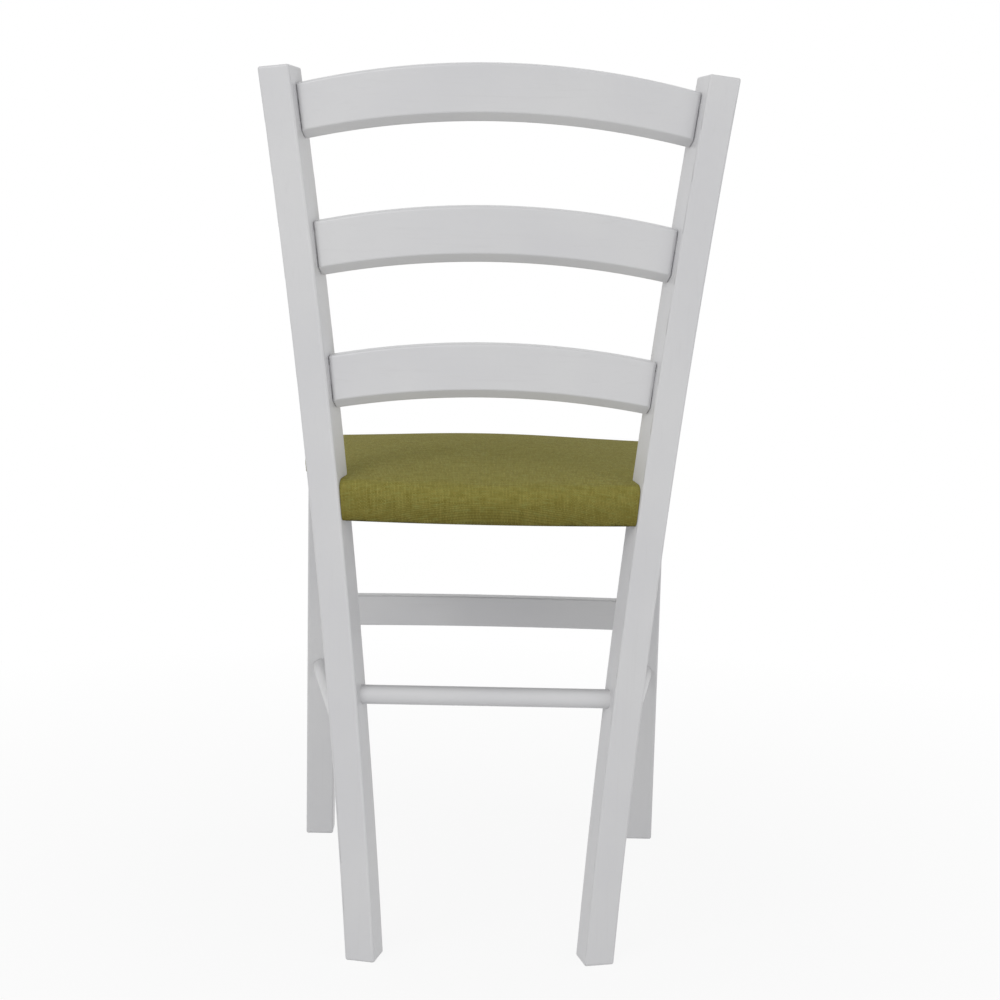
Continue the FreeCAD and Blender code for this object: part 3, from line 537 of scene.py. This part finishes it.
def plain_box(low, high):
    shape = bmesh.new()
    bmesh.ops.create_cube(shape, size=1.0)
    bmesh.ops.scale(shape, verts=shape.verts, vec=Vector(high) - Vector(low))
    bmesh.ops.translate(shape, verts=shape.verts, vec=(Vector(high) + Vector(low)) / 2)
    return shape


POST_TURN = math.radians(13.5)
POST_SPLAY = math.radians(5.1)
POST_HALF_WIDTH = 14.75 * MM
POST_HALF_DEPTH = 16.7 * MM
POST_LEAN = math.radians(4.2)
POST_REACH = 0.15
# The cover runs this far into the post's front, so that no gap shows beside it
TUCK = 2.0 * MM


def beside_post(side):
    """All that lies behind the post's front face and outside its inner face."""
    low = (-POST_HALF_WIDTH - CLEARANCE, -POST_HALF_DEPTH + TUCK, -POST_REACH)
    shape = plain_box(low, (POST_REACH, POST_REACH, POST_REACH))
    turn = Matrix.Rotation(-POST_TURN, 4, "Z") @ Matrix.Rotation(POST_SPLAY, 4, "Y")
    place = Matrix.Translation(POST_SPOT) @ turn @ Matrix.Rotation(-POST_LEAN, 4, "X")
    bmesh.ops.transform(shape, matrix=place, verts=shape.verts)
    if side < 0:
        bmesh.ops.scale(shape, verts=shape.verts, vec=(-1.0, 1.0, 1.0))
        bmesh.ops.recalc_face_normals(shape, faces=shape.faces)
    return shape


def make_cushion():
    block = seat_block(SKIN - 0.2 * MM, cover_low.z, CROWN_FOOT)
    top_rim = [
        edge
        for edge in block.edges
        if all(vertex.co.z > CROWN_FOOT - MM for vertex in edge.verts) and edge.calc_face_angle(0) > 0.5
    ]
    bmesh.ops.bevel(
        block, geom=top_rim, offset=EDGE_ROUND, affect="EDGES", segments=5, profile=0.5, material=-1
    )
    piece = scene_object("seat_cushion", block)
    remesh = piece.modifiers.new("even_mesh", "REMESH")
    remesh.mode = "VOXEL"
    remesh.voxel_size = VOXEL
    applied(piece)
    for vertex in piece.data.vertices:
        above = min(1.0, max(0.0, (vertex.co.z - board_low.z) / (CROWN_FOOT - board_low.z)))
        vertex.co += Vector((0.0, bulge(vertex.co), above * dome(vertex.co)))
    swell(piece)
    fine = piece.modifiers.new("fine_mesh", "SUBSURF")
    fine.levels = 1
    fine.render_levels = 1
    applied(piece)
    cutter("inside", seat_block(0.3 * MM, FRAME_FOOT, board_high.z + 0.3 * MM))
    cutter("opening", seat_block(-HEM, FRAME_FOOT - 20 * MM, FRAME_FOOT + MM))
    for side in (1, -1):
        cutter(f"post_room_{side}", beside_post(side))
        reach = LEG_HALF + CLEARANCE
        low = (side * LEG_SPOT.x - reach, LEG_SPOT.y - reach, LEG_ROOM_FOOT)
        high = (side * LEG_SPOT.x + reach, LEG_SPOT.y + reach, FRAME_FOOT + MM)
        cutter(f"leg_room_{side}", plain_box(low, high))
    for index, tool in enumerate(list(cutters.objects)):
        difference = piece.modifiers.new(f"cut_{index}", "BOOLEAN")
        difference.operation = "DIFFERENCE"
        difference.solver = "EXACT"
        difference.object = tool
    applied(piece)
    for tool in list(cutters.objects):
        bpy.data.objects.remove(tool)
    bpy.data.collections.remove(cutters)
    return piece


def map_cloth(piece):
    """Gives each face its place on the cloth in metres, and marks the hard edges."""
    shape = bmesh.new()
    shape.from_mesh(piece.data)
    layer = shape.loops.layers.uv.new(CLOTH_MAP)
    for face in shape.faces:
        face.smooth = True
        normal = face.normal
        to_side = abs(normal.x) > max(abs(normal.y), abs(normal.z))
        to_front = -normal.y > abs(normal.z)
        for loop in face.loops:
            x, y, z = loop.vert.co
            if to_side:
                loop[layer].uv = (y, -z)
            elif to_front:
                loop[layer].uv = (x, y + z)
            else:
                loop[layer].uv = (x, y - z)
    for edge in shape.edges:
        edge.smooth = edge.calc_face_angle(0) < 0.7
    shape.to_mesh(piece.data)
    shape.free()


cutters = bpy.data.collections.new("cutters")
bpy.context.scene.collection.children.link(cutters)
cushion = make_cushion()
map_cloth(cushion)
cushion.data.materials.clear()
cushion.data.materials.append(FABRIC)
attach(cushion, "root")
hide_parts("seat_cover", "seat_foam")


# Lining: black felt, stapled up under the seat frame

GRID = 14 * MM
SAG = 2.2 * MM
FELT_THICKNESS = 0.7 * MM
RIM_FLAT = 14 * MM


def lining_felt():
    """The lining's own outline, gridded and let sag a little between its staples."""
    shape = merged("dust_cloth")
    low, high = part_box("dust_cloth")
    upper = [face for face in shape.faces if face.normal.z > -0.7]
    bmesh.ops.delete(shape, geom=upper, context="FACES")
    bmesh.ops.dissolve_limit(shape, angle_limit=0.02, verts=shape.verts, edges=shape.edges)
    for axis in (0, 1):
        middle = (low[axis] + high[axis]) / 2
        half = int((high[axis] - low[axis]) / GRID / 2)
        for step in range(-half, half + 1):
            point = Vector((0.0, 0.0, 0.0))
            outward = Vector((0.0, 0.0, 0.0))
            point[axis] = middle + step * GRID
            outward[axis] = 1.0
            geometry = list(shape.verts) + list(shape.edges) + list(shape.faces)
            bmesh.ops.bisect_plane(shape, geom=geometry, plane_co=point, plane_no=outward, dist=0.01 * MM)
    rim = [vertex.co.copy() for vertex in shape.verts if vertex.is_boundary]
    for vertex in shape.verts:
        away = min((vertex.co - spot).length for spot in rim)
        share = min(1.0, max(0.0, (away - RIM_FLAT) / 0.09))
        x, y, _ = vertex.co
        ripple = 0.35 * math.sin(x * 61.0 + 0.7) * math.sin(y * 47.0 + 1.9) * min(1.0, share * 4)
        vertex.co.z -= SAG * (share * (2 - share) + ripple)
    return shape


def staple_spots(felt_shape):
    """Places along the felt's rim, a little inside it, each with the way the rim runs."""
    spots = []
    for edge in felt_shape.edges:
        if not edge.is_boundary or edge.calc_length() < 6 * MM:
            continue
        first, second = (vertex.co for vertex in edge.verts)
        inward = edge.link_faces[0].calc_center_median() - (first + second) / 2
        run = (second - first).normalized()
        inward = (inward - run * inward.dot(run)).normalized()
        spots.append(((first + second) / 2 + inward * 5 * MM, run))
    return spots[::STAPLE_EVERY]


STAPLE_EVERY = 3
STAPLE = (10 * MM, 1.1 * MM, 0.55 * MM)


def crown_staples(spots):
    """One piece: the flat crowns of the staples that hold the felt."""
    shape = bmesh.new()
    for spot, run in spots:
        made = bmesh.ops.create_cube(shape, size=1.0)["verts"]
        bmesh.ops.scale(shape, verts=made, vec=STAPLE)
        lift = Matrix.Translation(spot - Vector((0.0, 0.0, STAPLE[2] / 2 + 0.05 * MM)))
        turn = Matrix.Rotation(math.atan2(run.y, run.x), 4, "Z")
        bmesh.ops.transform(shape, matrix=lift @ turn, verts=made)
    bmesh.ops.bevel(
        shape, geom=shape.edges[:], offset=0.2 * MM, affect="EDGES", segments=2, profile=0.5, material=-1
    )
    return shape


felt_shape = lining_felt()
felt_area = sum(face.calc_area() for face in felt_shape.faces)
staples = add_piece("lining_staples", crown_staples(staple_spots(felt_shape)), STEEL)
lining = add_piece("seat_lining", felt_shape, FELT)
thickness = lining.modifiers.new("thickness", "SOLIDIFY")
thickness.thickness = FELT_THICKNESS
thickness.offset = -1.0
applied(lining)
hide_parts("dust_cloth")


# Camera: behind the chair, a little above the seat, where the photograph was taken from

WHEELBASE = 0.395
REAR_FEET_Y = (leg_low.y + leg_high.y) / 2 + WHEELBASE
CAMERA_PLACE = Vector((0.0172, REAR_FEET_Y + 1.7203, 0.678))
CAMERA_PITCH = 0.13195
CAMERA_YAW = 0.01562
CAMERA_ROLL = 0.02293
FOCAL_PIXELS = 1845.5
PICTURE_PIXELS = 1000

camera_data = bpy.data.cameras.new("camera")
camera_data.sensor_width = 36.0
camera_data.lens = FOCAL_PIXELS * camera_data.sensor_width / PICTURE_PIXELS
camera = bpy.data.objects.new("camera", camera_data)
bpy.context.scene.collection.objects.link(camera)
camera.matrix_world = (
    Matrix.Translation(CAMERA_PLACE)
    @ Matrix.Rotation(math.pi - CAMERA_YAW, 4, "Z")
    @ Matrix.Rotation(math.pi / 2 - CAMERA_PITCH, 4, "X")
    @ Matrix.Rotation(CAMERA_ROLL, 4, "Z")
)
bpy.context.scene.camera = camera
bpy.context.scene.view_settings.view_transform = "Standard"


# Studio: white floor and world, soft lamps


def ground_white():
    """A matt ground, shown nearly plain white, that still takes a little of the chair's shadow."""
    paint = Paint("studio_floor")
    cloud = paint.speckle(paint.place(), 3.0, detail=2.0)
    paint.finish(paint.mix(cloud, srgb(216, 216, 216), srgb(219, 219, 219)), 0.9)
    glow = paint.node("ShaderNodeEmission", {}, Color=(1.0, 1.0, 1.0), Strength=1.0)
    path = paint.tree.nodes.new("ShaderNodeLightPath")
    rays = [Wave(paint, path.outputs[name]) for name in SEEN_RAYS]
    away = paint.node("ShaderNodeVectorMath", {"operation": "LENGTH"}, paint.place(), output=1)
    seen = rays[0].most(rays[1]).most(rays[2]) * away.stretch(0.3, 1.3, FLOOR_GLOW, 1.0)
    blend = paint.tree.nodes.new("ShaderNodeMixShader")
    paint.tree.links.new(seen.socket, blend.inputs[0])
    paint.tree.links.new(paint.shader.outputs[0], blend.inputs[1])
    paint.tree.links.new(glow.socket, blend.inputs[2])
    paint.tree.links.new(blend.outputs[0], paint.tree.nodes["Material Output"].inputs["Surface"])
    return paint.material


FLOOR_GLOW = 0.9
SEEN_RAYS = ("Is Camera Ray", "Is Glossy Ray", "Is Transmission Ray")
disc = bmesh.new()
bmesh.ops.create_circle(disc, cap_ends=True, cap_tris=False, segments=96, radius=12.0)
floor_mesh = bpy.data.meshes.new("floor")
disc.to_mesh(floor_mesh)
disc.free()
floor_mesh.materials.append(ground_white())
floor = bpy.data.objects.new("floor", floor_mesh)
bpy.context.scene.collection.objects.link(floor)

world = bpy.data.worlds.new("studio")
bpy.context.scene.world = world
world.use_nodes = True
tree = world.node_tree
background = tree.nodes["Background"]
background.inputs["Color"].default_value = (1.0, 1.0, 1.0, 1.0)
AMBIENT = 0.6
path = tree.nodes.new("ShaderNodeLightPath")
seen = tree.nodes.new("ShaderNodeMath")
seen.operation = "MAXIMUM"
tree.links.new(path.outputs["Is Camera Ray"], seen.inputs[0])
tree.links.new(path.outputs["Is Transmission Ray"], seen.inputs[1])
shown = tree.nodes.new("ShaderNodeMath")
shown.operation = "MAXIMUM"
tree.links.new(seen.outputs[0], shown.inputs[0])
tree.links.new(path.outputs["Is Glossy Ray"], shown.inputs[1])
strength = tree.nodes.new("ShaderNodeMapRange")
strength.inputs["To Min"].default_value = AMBIENT
strength.inputs["To Max"].default_value = 1.0
tree.links.new(shown.outputs[0], strength.inputs["Value"])
tree.links.new(strength.outputs[0], background.inputs["Strength"])


def lamp(name, place, target, side, watts):
    data = bpy.data.lights.new(name, "AREA")
    data.shape = "SQUARE"
    data.size = side
    data.energy = watts
    made = bpy.data.objects.new(name, data)
    made.location = place
    aim = Vector(target) - Vector(place)
    made.rotation_mode = "QUATERNION"
    made.rotation_quaternion = aim.to_track_quat("-Z", "Y")
    bpy.context.scene.collection.objects.link(made)


CHAIR_MIDDLE = (0.0, 0.0, 0.45)
lamp("key", (1.4, 2.2, 1.6), CHAIR_MIDDLE, 1.6, 21.5)
lamp("fill", (-1.9, 1.5, 0.5), (0.0, 0.0, 0.3), 1.4, 8.5)
